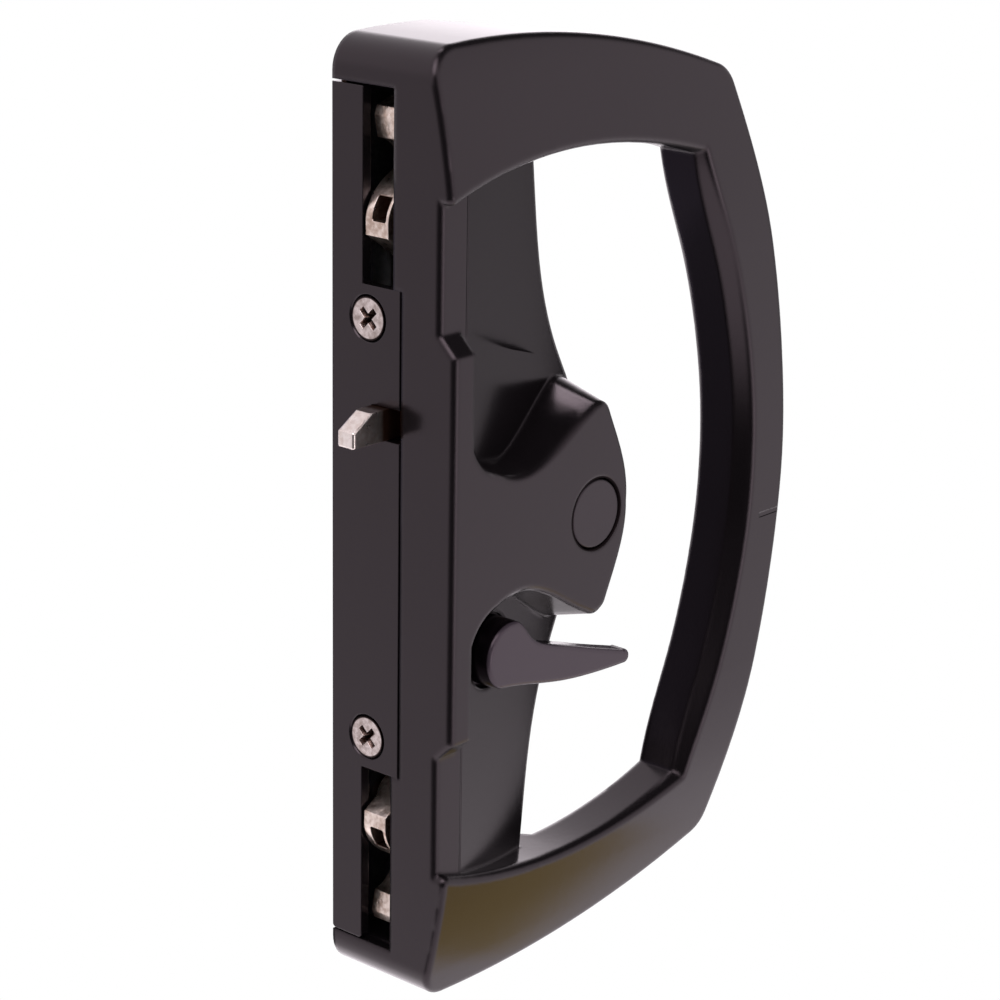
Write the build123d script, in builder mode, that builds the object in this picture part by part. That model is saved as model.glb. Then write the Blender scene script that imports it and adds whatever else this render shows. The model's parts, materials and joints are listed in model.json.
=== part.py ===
from build123d import *
import os
from math import cos, radians, sin, tan

os.makedirs("parts", exist_ok=True)

# Frame: the back mounting face is Y = 0, the front faces -Y, Z is up and X = 0 is the
# line of the two fixing posts. The edge face, which meets the keeper, faces -X.
EDGE_X = -24.0

# Housing sizes, taken from the edge face and the mounting face
DEPTH = 34.2
TOP_EDGE_Z = 102.0
EDGE_CORNER_R = 7.3
GRIP_OUTER = 113.6
GRIP_W = 14.4
GRIP_T = 14.7
GRIP_INNER = GRIP_OUTER - GRIP_W
GRIP_BACK = DEPTH - GRIP_T
ARM_INNER_Z = 78.2
GRIP_CORNER_R = 5.0
FRONT_FLAT_Z = 50.0
FRONT_R = 177.0
WALL = 2.8
RIM_R = 1.2
INNER_RIM_R = 1.5
SHOULDER_W = 2.2
SHOULDER_H = 4.1
GRIP_REAR_R = 2.0

# Recesses and boss on the front
STRIP_DROP = 4.2
STRIP_DEPTH = DEPTH - STRIP_DROP
STRIP_WIDTH = 8.0
FRONT_STRIP_WIDTH = 6.0
FRONT_STRIP_Z = 41.4
FLOOR_SLOPE = 8.0 / 34.0
BOSS_H = 14.0
BOSS_RIM = 0.8
BOSS_DRAFT = 16.0
BOSS_GROW = BOSS_H * tan(radians(BOSS_DRAFT))
BOSS_RIM_GROW = BOSS_RIM * tan(radians(BOSS_DRAFT))

# Faceplate and the two beak slots
PLATE_T = 2.4
PLATE_W = 19.05
PLATE_GAP = 0.5
PLATE_RECESS_W = PLATE_W + PLATE_GAP
SLOT_NEAR = 8.56
SLOT_FAR = 17.12
SLOT_Z0 = 52.75
SLOT_Z1 = 93.0
END_GAP = 0.5
SLOT_CORNER_R = 3.0
PLATE_SCREW_Z = 45.7
PLATE_SCREW_Y = 10.07
PLATE_SCREW_R = 2.5
PLATE_SCREW_HEAD_R = 4.6
PLATE_SINK_R = 5.15
PLATE_SCREW_L = 9.0

# Depth layers of the lock unit, measured forward from the mounting face
COVER_T = 1.6
CHASSIS_BACK = 3.6
CHASSIS_T = 1.2
CHASSIS_FRONT = CHASSIS_BACK + CHASSIS_T
SLIDE_BACK = 5.1
SLIDE_T = 2.0
SLIDE_FRONT = SLIDE_BACK + SLIDE_T
CAM_BACK = 7.5
CAM_T = 2.5
BEAK_BACK = 9.2
BEAK_FRONT = 15.5
BRIDGE_BACK = 16.0
BRIDGE_T = 1.2

# Hook beaks
PIVOT_X = 10.8
PIVOT_Z = 62.5
PIVOT_R = 1.5
PIVOT_FIT = 0.06
BEAK_POCKET_Y = 12.9
BEAK_POCKET_Z = 68.5
BEAK_SWING = 78.0
CRANK_PIN_R = 1.1

# Snib lever, its spindle and the cam
LEVER_X = 21.5
LEVER_Z = -27.0
LEVER_TRAVEL = 16.0
CAM_ARM = 15.5
CAM_PIN_R = 1.5
SPINDLE_R = 4.0
SPINDLE_FIT = 0.06
SPINDLE_SQUARE = 5.0
JOURNAL_R = 2.4
LEVER_SEAT = DEPTH - 9.0
WASHER_FRONT = LEVER_SEAT + 0.55
WASHER_R = 6.4
LEVER_BACK = DEPTH - 4.4
HUB_X = 19.4
HUB_Z = -26.6
HUB_R = 7.5
LEVER_FRONT = DEPTH - 0.2
SPINDLE_END = LEVER_FRONT - 2.5
CAM_HUB_R = 6.0
CAM_HUB_FRONT = 12.0
CAM_END_R = 2.9

# The slides travel by what the cam pins rise, and the crank radius follows from it
SLIDE_TRAVEL = 2 * CAM_ARM * sin(radians(LEVER_TRAVEL / 2))
CRANK_R = SLIDE_TRAVEL / (2 * sin(radians(BEAK_SWING / 2)))
STRIP_X0 = PIVOT_X + PIVOT_R + 0.3
STRIP_X1 = STRIP_X0 + 7.4
GUIDE_R = 1.5
GUIDE_X = (STRIP_X0 + STRIP_X1) / 2
PIN_PLAY = 0.25

# Blank that fills the cylinder hole
BLANK_X = 45.75
BLANK_Z = -1.0
BLANK_R = 7.6
BLANK_SET = 0.25
BLANK_HOLE_R = 8.0
BLANK_STEM_R = 6.2
BLANK_SEAT = DEPTH - 3.7
BLANK_POCKET = DEPTH - 7.2
BLANK_POCKET_R = 9.0
BLANK_STEM_END = BLANK_POCKET - 2.5
CLIP_T = 1.0
CLIP_GROOVE = 0.6

# Trigger
TRIGGER_Z0 = 21.0
TRIGGER_Z1 = 27.8
TRIGGER_BACK = 11.4
TRIGGER_FRONT = 16.0
TRIGGER_OUT = 10.2
TRIGGER_NOSE_L = 5.2
TRIGGER_NOSE_H = 3.3
TRIGGER_STEP = 6.0
TRIGGER_END = 24.0
TRIGGER_PLAY = 0.15
TAIL_FRONT = 17.0
SPRING_R = 1.6
SPRING_WIRE_R = 0.25
SPRING_BORE_R = 2.2
SPRING_START = 8.0
SPRING_END = 42.0
SPRING_TURNS = 11
GUIDE_T = 1.3
GUIDE_X0 = 7.0
GUIDE_LEG_X0 = 24.0
GUIDE_LEG_X1 = 31.0

# Fixings
POST_Z = 88.0
POST_X = -EDGE_X
POST_R = 5.5
INSERT_R = 4.0
INSERT_HOLE_R = 2.5
INSERT_L = 12.0
CHASSIS_SCREW_X = 30.0
CHASSIS_SCREW_Z = 60.0
CHASSIS_SCREW_R = 1.5
CHASSIS_SCREW_HEAD_R = 2.8
CHASSIS_SCREW_HEAD_T = 1.5
CHASSIS_SCREW_L = 10.0
CHASSIS_BOSS_R = 3.4
COVER_SCREW_R = 1.25
COVER_SCREW_HEAD_R = 2.3
COVER_SCREW_L = 8.0
COVER_BOSS_R = 3.0
COVER_SCREWS = ((28.0, 74.0), (35.3, 43.0))
COVER_PLAY = 0.1
COVER_EDGE = 1.2
CAVITY_X0 = 3.0
CAVITY_Z = 93.2
SPINDLE_PAD = LEVER_SEAT - 5.7
SEAT_X = 19.4
SEAT_Z = -26.9
SEAT_R = 8.25
SEAT_WALL = 1.5
CHASSIS_X0 = 2.5
CHASSIS_X1 = 31.5
CHASSIS_Z = 70.0
LUG_Z0 = 41.0
LUG_Z1 = 50.5
LUG_T = 2.5
LUG_FRONT = 15.8
BRIDGE_X0 = 3.4
BRIDGE_X1 = 26.3
BRIDGE_Z0 = 50.0
SPACER_X = 24.0
SPACER_R = 1.8
SPACER_Z = (53.0, 67.0)
GUIDE_Z = (10.0, 45.0)
LOWER_GUIDE_Z = (-42.0, -54.0)
STRIP_END_Z = 66.5

# Sketch planes: local x runs from the edge face, local y is Z, and the offset goes forward
edge_plane = Plane(origin=(EDGE_X, 0, 0), x_dir=(1, 0, 0), z_dir=(0, -1, 0))
plan_plane = Plane(origin=(EDGE_X, 0, 0), x_dir=(1, 0, 0), z_dir=(0, 0, 1))
side_plane = Plane(origin=(EDGE_X, 0, 0), x_dir=(0, -1, 0), z_dir=(-1, 0, 0))
# At rest the cam stands half of the lever travel below its middle position
cam_plane = Plane(
    origin=(EDGE_X + LEVER_X, 0, LEVER_Z),
    x_dir=(cos(radians(LEVER_TRAVEL / 2)), 0, -sin(radians(LEVER_TRAVEL / 2))),
    z_dir=(0, -1, 0),
)


def recess_floor(x):
    """Depth of the sloped recess floor at a distance from the edge face."""
    return STRIP_DEPTH - (x - STRIP_WIDTH) * FLOOR_SLOPE


def front_depth(z):
    """Depth of the front face where it curves back above and below the flat middle."""
    return DEPTH - FRONT_R + (FRONT_R**2 - (z - FRONT_FLAT_Z) ** 2) ** 0.5


# Side profile that all front surfaces follow: flat in the middle, curving back at both ends
with BuildPart() as front_profile:
    with BuildSketch(side_plane):
        with BuildLine():
            Line((DEPTH, -FRONT_FLAT_Z), (DEPTH, FRONT_FLAT_Z))
            for s in (1, -1):
                ThreePointArc(
                    (DEPTH, s * FRONT_FLAT_Z), (front_depth(80), s * 80),
                    (front_depth(110), s * 110),
                )
                Line((front_depth(110), s * 110), (0, s * 110))
            Line((0, 110), (0, -110))
        make_face()
    extrude(amount=-140)

# Handle housing
# One die casting: full depth at the edge, a diagonal rear behind the arms, and a shallow
# bow that carries the grip round to the other arm.
def opening_outline(grow):
    """Inner outline of arms and grip, grown at the grip and less on the arms."""
    for s in (1, -1):
        corner = (GRIP_INNER - 18.4 + 0.8 * grow, s * (ARM_INNER_Z - 6.2 + 0.8 * grow))
        ThreePointArc((0, s * (ARM_INNER_Z - 7)), (46, s * (ARM_INNER_Z + 0.15 * grow)), corner)
        Spline(
            corner, (GRIP_INNER - 8.9 + grow, s * 46.4), (GRIP_INNER - 1.9 + grow, s * 21),
            (GRIP_INNER + grow, 0), tangents=[(0.22, -s * 0.97), (0, -s)],
        )
    Line((0, ARM_INNER_Z - 7), (0, 7 - ARM_INNER_Z))


def front_rim(block, inner):
    """Curved edges of the front face, those round the opening or those outside."""
    found = []
    for e in block.faces().filter_by(lambda f: f.normal_at().Y < -0.9).edges():
        x, z = e.center().X - EDGE_X, abs(e.center().Z)
        at_arm = z < ARM_INNER_Z + 3 and 5 < x < GRIP_INNER - 1
        at_grip = z < 30 and 5 < x < GRIP_INNER + 4
        if e.geom_type != GeomType.LINE and (at_arm or at_grip) == inner:
            found.append(e)
    return found


with BuildPart() as bow:
    with BuildSketch(edge_plane):
        with BuildLine():
            for s in (1, -1):
                ThreePointArc(
                    (0, s * TOP_EDGE_Z), (46, s * (TOP_EDGE_Z - 1)),
                    (GRIP_OUTER - 20.4, s * (TOP_EDGE_Z - 12.7)),
                )
            Spline(
                (GRIP_OUTER - 20.4, TOP_EDGE_Z - 12.7), (GRIP_OUTER - 14.7, 72),
                (GRIP_OUTER - 7.6, 50.4), (GRIP_OUTER - 1.6, 21), (GRIP_OUTER, 0),
                (GRIP_OUTER - 1.6, -21), (GRIP_OUTER - 7.6, -50.4), (GRIP_OUTER - 14.7, -72),
                (GRIP_OUTER - 20.4, 12.7 - TOP_EDGE_Z),
            )
            Line((0, -TOP_EDGE_Z), (0, TOP_EDGE_Z))
        make_face()
        fillet(vertices().group_by(Axis.X)[-1], 7)
        fillet(vertices().group_by(Axis.X)[0], EDGE_CORNER_R)
    extrude(amount=DEPTH)
    with BuildSketch(edge_plane):
        with BuildLine():
            opening_outline(0)
        make_face()
        fillet(vertices().filter_by(lambda v: v.X > EDGE_X + 70 and abs(v.Z) > 60), GRIP_CORNER_R)
    extrude(amount=DEPTH, mode=Mode.SUBTRACT)
    # Shoulder along the inner front edge, wide at the grip and running out on the arms
    for grow, depth in ((0, DEPTH - SHOULDER_H), (SHOULDER_W, DEPTH)):
        with BuildSketch(edge_plane.offset(depth)):
            with BuildLine():
                opening_outline(grow)
            make_face()
            fillet(vertices().filter_by(lambda v: v.X > EDGE_X + 70 and abs(v.Z) > 60), GRIP_CORNER_R)
    loft(ruled=True, mode=Mode.SUBTRACT)
    with BuildSketch(plan_plane):
        with BuildLine():
            Polyline(
                (0, 0), (28, 0), (41, -GRIP_BACK), (120, -GRIP_BACK),
                (120, -DEPTH), (0, -DEPTH), (0, 0),
            )
        make_face()
    extrude(amount=120, both=True, mode=Mode.INTERSECT)
    add(front_profile.part, mode=Mode.INTERSECT)

    fillet(front_rim(bow, False), RIM_R)
    fillet(front_rim(bow, True), INNER_RIM_R)
    back = bow.faces().filter_by(lambda f: f.normal_at().Y > 0.9 and f.center().Y < -10).edges()
    fillet(back.filter_by(lambda e: e.geom_type != GeomType.LINE), GRIP_REAR_R)

# Body behind the opening, with the sloped floor of the two recesses
with BuildPart() as body:
    with BuildSketch(edge_plane):
        with BuildLine():
            Polyline((31, 95), (0, 95), (0, -95), (31, -95))
            Spline(
                (31, -95), (35.4, -72), (39.7, -49), (47, -33), (55, -20), (58, 0),
                (55, 20), (47, 33), (39.7, 49), (35.4, 72), (31, 95),
            )
        make_face()
    extrude(amount=DEPTH)
    with BuildSketch(plan_plane):
        with BuildLine():
            Polyline(
                (0, 0), (60, 0), (60, -recess_floor(60)), (STRIP_WIDTH, -STRIP_DEPTH),
                (0, -STRIP_DEPTH), (0, 0),
            )
        make_face()
    extrude(amount=120, both=True, mode=Mode.INTERSECT)
    # Lower behind the arms, so that it stays inside their rounded edges
    with BuildSketch(side_plane):
        with BuildLine():
            Polyline(
                (0, 95), (24, 95), (24, 84), (STRIP_DEPTH, ARM_INNER_Z - 1),
                (STRIP_DEPTH, 1 - ARM_INNER_Z), (24, -84), (24, -95), (0, -95), (0, 95),
            )
        make_face()
    extrude(amount=-60, mode=Mode.INTERSECT)

# Boss on the front face: a waist at the edge strip, two horns and a rounded end, with
# drafted sides that run down to the recess floors
with BuildPart() as boss:
    for grow, depth in (
        (-BOSS_RIM, DEPTH), (BOSS_RIM_GROW, DEPTH - BOSS_RIM), (BOSS_GROW, DEPTH - BOSS_H),
    ):
        with BuildSketch(edge_plane.offset(depth)):
            with BuildLine():
                for s in (1, -1):
                    neck = (14.1, s * (14.4 + grow))
                    horn = (44.2 - 0.4 * grow, s * (22.9 + 0.9 * grow))
                    end = (49.8 + 0.6 * grow, s * (21.2 + 0.5 * grow))
                    Line((3, 0), (3, s * 25))
                    Line((3, s * 25), (FRONT_STRIP_WIDTH + grow, s * 25))
                    ThreePointArc(
                        (FRONT_STRIP_WIDTH + grow, s * 25),
                        (8.3 + 0.75 * grow, s * (18.4 + 0.7 * grow)),
                        neck,
                    )
                    Spline(
                        neck, (18.8, s * (12.9 + grow)), (23.5, s * (12.8 + grow)),
                        (28.2 - 0.3 * grow, s * (14.1 + grow)),
                        (37.7 - 0.5 * grow, s * (19.3 + 0.9 * grow)), horn,
                    )
                    ThreePointArc(horn, (47.5 + 0.1 * grow, s * (23.4 + 0.9 * grow)), end)
                    Spline(
                        end, (52.9 + 0.45 * grow, s * (14 + 0.2 * grow)),
                        (55.3 + 0.4 * grow, s * 6.8), (55.9 + 0.4 * grow, 0),
                    )
            make_face()
    loft(ruled=True)

# Hollow of the housing, open at the back, with a ceiling parallel to the recess floors
def hollow_outline(x0, grow):
    """Outline of the hollow, and grown by a rim that of the cover which closes it."""
    for s in (1, -1):
        Polyline(
            (x0, 0), (x0, s * (CAVITY_Z + grow)), (27 + grow, s * (CAVITY_Z + grow)),
            (30.5 + grow, s * 84),
        )
        Spline(
            (30.5 + grow, s * 84), (32.6 + grow, s * 72), (36.9 + grow, s * 49),
            (43.4 + grow, s * 33), (50.6 + grow, s * 20), (54.6 + grow, 0),
        )


with BuildPart() as cavity:
    with BuildSketch(edge_plane):
        with BuildLine():
            hollow_outline(CAVITY_X0, 0)
        make_face()
    extrude(amount=DEPTH)
    with BuildSketch(plan_plane):
        with BuildLine():
            Polyline(
                (0, 1), (60, 1), (60, WALL - recess_floor(60)),
                (STRIP_WIDTH, WALL - STRIP_DEPTH), (0, WALL - STRIP_DEPTH), (0, 1),
            )
        make_face()
    extrude(amount=120, both=True, mode=Mode.INTERSECT)
    # Solid bearing of the lever spindle, left standing from the ceiling down
    with BuildSketch(edge_plane.offset(SPINDLE_PAD)):
        with Locations((SEAT_X, SEAT_Z)):
            Circle(SEAT_R + SEAT_WALL)
    extrude(amount=DEPTH - SPINDLE_PAD, mode=Mode.SUBTRACT)

with BuildPart() as handle_housing:
    add(bow.part)
    add(body.part)
    add(boss.part)
    # Raised strip beside the faceplate, with a 45 degree facet at each end
    with BuildSketch(side_plane):
        with BuildLine():
            Polyline(
                (20, 45.5), (STRIP_DEPTH, 45.5), (DEPTH, FRONT_STRIP_Z),
                (DEPTH, -FRONT_STRIP_Z), (STRIP_DEPTH, -45.5), (20, -45.5), (20, 45.5),
            )
        make_face()
    extrude(amount=-FRONT_STRIP_WIDTH)
    add(front_profile.part, mode=Mode.INTERSECT)
    add(cavity.part, mode=Mode.SUBTRACT)
    # Seat of the back cover
    with BuildSketch(edge_plane):
        with BuildLine():
            hollow_outline(CHASSIS_X0, COVER_EDGE)
        make_face()
    extrude(amount=COVER_T + COVER_PLAY, mode=Mode.SUBTRACT)
    # Open edge: the faceplate recess and the slots that the beaks swing out through
    with BuildSketch(side_plane):
        with Locations((PLATE_RECESS_W / 2, 0)):
            Rectangle(PLATE_RECESS_W, 2 * SLOT_Z0)
        with Locations((SLOT_FAR / 2, 0)):
            Rectangle(SLOT_FAR, 2 * (SLOT_Z1 + END_GAP))
        fillet(vertices().filter_by(lambda v: abs(v.Z) > SLOT_Z1 and v.Y < -SLOT_NEAR), SLOT_CORNER_R)
    extrude(amount=-CAVITY_X0, mode=Mode.SUBTRACT)
    # Solid parts inside: fixing posts and screw bosses
    with BuildSketch(edge_plane):
        with Locations((POST_X, POST_Z), (POST_X, -POST_Z)):
            Circle(POST_R)
    extrude(amount=recess_floor(POST_X) - WALL + 1)
    with BuildSketch(edge_plane.offset(CHASSIS_FRONT)):
        with Locations((CHASSIS_SCREW_X, CHASSIS_SCREW_Z), (CHASSIS_SCREW_X, -CHASSIS_SCREW_Z)):
            Circle(CHASSIS_BOSS_R)
    extrude(amount=recess_floor(CHASSIS_SCREW_X) - WALL + 1 - CHASSIS_FRONT)
    for x, z in COVER_SCREWS:
        with BuildSketch(edge_plane.offset(COVER_T + COVER_PLAY)):
            with Locations((x, z), (x, -z)):
                Circle(COVER_BOSS_R)
        extrude(amount=recess_floor(x) - WALL + 1 - COVER_T - COVER_PLAY)
        with BuildSketch(edge_plane.offset(COVER_T + COVER_PLAY)):
            with Locations((x, z), (x, -z)):
                Circle(COVER_SCREW_R)
        extrude(amount=COVER_SCREW_L, mode=Mode.SUBTRACT)
    # Bores for the inserts, the chassis screws, the spindle and the cylinder blank
    with BuildSketch(edge_plane):
        with Locations((POST_X, POST_Z), (POST_X, -POST_Z)):
            Circle(INSERT_R)
    extrude(amount=INSERT_L, mode=Mode.SUBTRACT)
    with BuildSketch(edge_plane.offset(CHASSIS_FRONT)):
        with Locations((CHASSIS_SCREW_X, CHASSIS_SCREW_Z), (CHASSIS_SCREW_X, -CHASSIS_SCREW_Z)):
            Circle(CHASSIS_SCREW_R)
    extrude(amount=CHASSIS_SCREW_L, mode=Mode.SUBTRACT)
    with BuildSketch(edge_plane.offset(SPINDLE_PAD)):
        with Locations((LEVER_X, LEVER_Z)):
            Circle(SPINDLE_R + SPINDLE_FIT)
    extrude(amount=LEVER_SEAT - SPINDLE_PAD, mode=Mode.SUBTRACT)
    with BuildSketch(edge_plane.offset(LEVER_SEAT)):
        with Locations((LEVER_X, LEVER_Z)):
            Circle(WASHER_R + 0.3)
        with Locations((SEAT_X, SEAT_Z)):
            Circle(SEAT_R)
    extrude(amount=DEPTH - LEVER_SEAT, mode=Mode.SUBTRACT)
    with BuildSketch(edge_plane.offset(BLANK_POCKET)):
        with Locations((BLANK_X, BLANK_Z)):
            Circle(BLANK_POCKET_R)
    extrude(amount=-14, mode=Mode.SUBTRACT)
    with BuildSketch(edge_plane.offset(BLANK_POCKET)):
        with Locations((BLANK_X, BLANK_Z)):
            Circle(BLANK_STEM_R + 0.1)
    extrude(amount=6, mode=Mode.SUBTRACT)
    with BuildSketch(edge_plane.offset(BLANK_SEAT)):
        with Locations((BLANK_X, BLANK_Z)):
            Circle(BLANK_HOLE_R)
    extrude(amount=6, mode=Mode.SUBTRACT)

    # Rounded edge between the edge face and the strips beside the recesses
    edge_rim = handle_housing.edges().filter_by(
        lambda e: abs(e.center().X - EDGE_X) < 0.01 and e.bounding_box().size.X < 0.01
    )
    fillet(edge_rim.filter_by(
        lambda e: -e.center().Y > STRIP_DEPTH - 0.1 and abs(e.center().Z) < ARM_INNER_Z - 7), RIM_R)

handle_housing.part.label = "handle_housing"
export_step(handle_housing.part, "parts/handle_housing.step")

# Back cover: a thin plate let into the rear, pierced for the posts
with BuildPart() as back_cover:
    with BuildSketch(edge_plane):
        with BuildLine():
            hollow_outline(CHASSIS_X0 + COVER_PLAY, COVER_EDGE - COVER_PLAY)
        make_face()
        with Locations((POST_X, POST_Z), (POST_X, -POST_Z)):
            Circle(POST_R + 0.2, mode=Mode.SUBTRACT)
    extrude(amount=COVER_T)
    for x, z in COVER_SCREWS:
        with Locations(Plane(origin=(EDGE_X, 0, 0), x_dir=(1, 0, 0), z_dir=(0, 1, 0))):
            with Locations((x, z), (x, -z)):
                CounterSinkHole(COVER_SCREW_R + 0.1, COVER_SCREW_HEAD_R + 0.1, counter_sink_angle=90)

back_cover.part.label = "back_cover"
export_step(back_cover.part, "parts/back_cover.step")

with BuildPart() as cover_screws:
    for x, z in COVER_SCREWS:
        for s in (1, -1):
            with BuildSketch(Plane(origin=(EDGE_X + x, 0, s * z), x_dir=(1, 0, 0), z_dir=(0, 0, 1))):
                with BuildLine():
                    Polyline(
                        (0, -0.05), (COVER_SCREW_HEAD_R, -0.05),
                        (COVER_SCREW_R, COVER_SCREW_R - COVER_SCREW_HEAD_R),
                        (COVER_SCREW_R, -COVER_SCREW_L), (0, -COVER_SCREW_L), (0, -0.05),
                    )
                make_face()
            revolve(axis=Axis((EDGE_X + x, 0, s * z), (0, 1, 0)))
    for x, z in COVER_SCREWS:
        with BuildSketch(edge_plane):
            with Locations((x, z), (x, -z)):
                Rectangle(2.6, 0.7, rotation=45)
                Rectangle(2.6, 0.7, rotation=-45)
        extrude(amount=0.8, mode=Mode.SUBTRACT)

cover_screws.part.label = "cover_screws"
export_step(cover_screws.part, "parts/cover_screws.step")

# Threaded bushes pressed into the two fixing posts
with BuildPart() as mounting_inserts:
    with BuildSketch(edge_plane):
        with Locations((POST_X, POST_Z), (POST_X, -POST_Z)):
            Circle(INSERT_R)
            Circle(INSERT_HOLE_R, mode=Mode.SUBTRACT)
    extrude(amount=INSERT_L)
    chamfer(edges().filter_by(GeomType.CIRCLE).group_by(Axis.Y)[-1].filter_by(
        lambda e: e.radius < INSERT_R - 0.1), 0.5)

mounting_inserts.part.label = "mounting_inserts"
export_step(mounting_inserts.part, "parts/mounting_inserts.step")

# Faceplate: wide in the middle, narrow beside the beak slots, notched for the trigger
with BuildPart() as faceplate:
    with BuildSketch(side_plane):
        with Locations((PLATE_W / 2, 0)):
            Rectangle(PLATE_W, 2 * SLOT_Z0)
        with Locations((SLOT_NEAR / 2, 0)):
            Rectangle(SLOT_NEAR, 2 * SLOT_Z1)
        fillet(vertices().group_by(Axis.Y)[0], 0.8)
        with Locations((TRIGGER_BACK - TRIGGER_PLAY, (TRIGGER_Z0 + TRIGGER_Z1) / 2)):
            Rectangle(
                PLATE_W - TRIGGER_BACK + TRIGGER_PLAY,
                TRIGGER_Z1 - TRIGGER_Z0 + 2 * TRIGGER_PLAY,
                align=(Align.MIN, Align.CENTER),
                mode=Mode.SUBTRACT,
            )
    extrude(amount=-PLATE_T)
    with Locations(side_plane):
        with Locations((PLATE_SCREW_Y, PLATE_SCREW_Z), (PLATE_SCREW_Y, -PLATE_SCREW_Z)):
            CounterSinkHole(PLATE_SCREW_R + 0.1, PLATE_SINK_R, counter_sink_angle=90)

faceplate.part.label = "faceplate"
export_step(faceplate.part, "parts/faceplate.step")

# Countersunk machine screws of the faceplate, with cross recesses turned 45 degrees
with BuildPart() as faceplate_screws:
    for s in (1, -1):
        with BuildSketch(Plane(
            origin=(EDGE_X, -PLATE_SCREW_Y, s * PLATE_SCREW_Z), x_dir=(1, 0, 0), z_dir=(0, -1, 0)
        )):
            with BuildLine():
                Polyline(
                    (0.05, 0), (0.05, PLATE_SCREW_HEAD_R),
                    (PLATE_SCREW_HEAD_R - PLATE_SCREW_R, PLATE_SCREW_R),
                    (PLATE_SCREW_L, PLATE_SCREW_R), (PLATE_SCREW_L, 0), (0.05, 0),
                )
            make_face()
        revolve(axis=Axis((EDGE_X, -PLATE_SCREW_Y, s * PLATE_SCREW_Z), (1, 0, 0)))
    for turn in (45, -45):
        with BuildSketch(side_plane):
            with Locations((PLATE_SCREW_Y, PLATE_SCREW_Z), (PLATE_SCREW_Y, -PLATE_SCREW_Z)):
                Rectangle(5.4, 1.5, rotation=turn)
        extrude(amount=-2.4, taper=14, mode=Mode.SUBTRACT)

faceplate_screws.part.label = "faceplate_screws"
export_step(faceplate_screws.part, "parts/faceplate_screws.step")

# Blank in the cylinder hole and the spring ring that holds it from behind
with BuildPart() as cylinder_blank:
    with BuildSketch(edge_plane.offset(BLANK_SEAT + 0.05)):
        with Locations((BLANK_X, BLANK_Z)):
            Circle(BLANK_R)
    extrude(amount=DEPTH - BLANK_SET - BLANK_SEAT - 0.05)
    fillet(edges().filter_by(GeomType.CIRCLE).group_by(Axis.Y)[0], 0.5)
    with BuildSketch(edge_plane.offset(BLANK_STEM_END)):
        with Locations((BLANK_X, BLANK_Z)):
            Circle(BLANK_STEM_R)
    extrude(amount=BLANK_SEAT + 0.05 - BLANK_STEM_END)
    with BuildSketch(edge_plane.offset(BLANK_POCKET - CLIP_T - 0.1)):
        with Locations((BLANK_X, BLANK_Z)):
            Circle(BLANK_STEM_R + 1)
            Circle(BLANK_STEM_R - CLIP_GROOVE, mode=Mode.SUBTRACT)
    extrude(amount=CLIP_T + 0.1, mode=Mode.SUBTRACT)

cylinder_blank.part.label = "cylinder_blank"
export_step(cylinder_blank.part, "parts/cylinder_blank.step")

with BuildPart() as blank_clip:
    with BuildSketch(edge_plane.offset(BLANK_POCKET - CLIP_T - 0.05)):
        with Locations((BLANK_X, BLANK_Z)):
            Circle(BLANK_STEM_R + 2)
            Circle(BLANK_STEM_R - CLIP_GROOVE + 0.05, mode=Mode.SUBTRACT)
            with Locations((0, -6)):
                Rectangle(5, 8, mode=Mode.SUBTRACT)
    extrude(amount=CLIP_T)

blank_clip.part.label = "blank_clip"
export_step(blank_clip.part, "parts/blank_clip.step")

# Snib lever at rest, pointing down to the right: a deep round hub that stands in its seat
# and a slim curved arm
with BuildPart() as snib_lever:
    with BuildSketch(edge_plane.offset(LEVER_BACK)):
        with BuildLine():
            Spline(
                (19.5, -19), (23.6, -21), (25.4, -23.3), (27.4, -25.1), (34.7, -28), (48.4, -32.4),
                (57, -35),
            )
            ThreePointArc((57, -35), (58.9, -36.9), (57, -38.2))
            Spline((57, -38.2), (48.6, -37.9), (35, -36.5), (21.9, -33.9), (15.8, -33))
            ThreePointArc((15.8, -33), (12.3, -23.8), (19.5, -19))
        make_face()
    extrude(amount=LEVER_FRONT - LEVER_BACK)
    fillet(faces().sort_by(Axis.Y)[0].edges(), 0.9)
    with BuildSketch(edge_plane.offset(WASHER_FRONT + 0.05)):
        with Locations((HUB_X, HUB_Z)):
            Circle(HUB_R)
    extrude(amount=LEVER_BACK + 1 - WASHER_FRONT - 0.05)
    with BuildSketch(edge_plane.offset(WASHER_FRONT)):
        with Locations((LEVER_X, LEVER_Z)):
            Circle(SPINDLE_R)
    extrude(amount=SPINDLE_END - WASHER_FRONT, mode=Mode.SUBTRACT)

snib_lever.part.label = "snib_lever"
export_step(snib_lever.part, "parts/snib_lever.step")

# Spindle: journal in the chassis, square through the cam, round shaft through the housing
with BuildPart() as lever_spindle:
    for back, front, r in (
        (CHASSIS_BACK - 0.2, CAM_BACK, JOURNAL_R),
        (CAM_HUB_FRONT, SPINDLE_END, SPINDLE_R),
    ):
        with BuildSketch(edge_plane.offset(back)):
            with Locations((LEVER_X, LEVER_Z)):
                Circle(r)
        extrude(amount=front - back)
    with BuildSketch(cam_plane.offset(CAM_BACK)):
        Rectangle(SPINDLE_SQUARE, SPINDLE_SQUARE)
    extrude(amount=CAM_HUB_FRONT - CAM_BACK)
    with BuildSketch(edge_plane.offset(SPINDLE_PAD - CLIP_T - 0.1)):
        with Locations((LEVER_X, LEVER_Z)):
            Circle(SPINDLE_R + 1)
            Circle(SPINDLE_R - CLIP_GROOVE, mode=Mode.SUBTRACT)
    extrude(amount=CLIP_T + 0.1, mode=Mode.SUBTRACT)

lever_spindle.part.label = "lever_spindle"
export_step(lever_spindle.part, "parts/lever_spindle.step")

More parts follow.
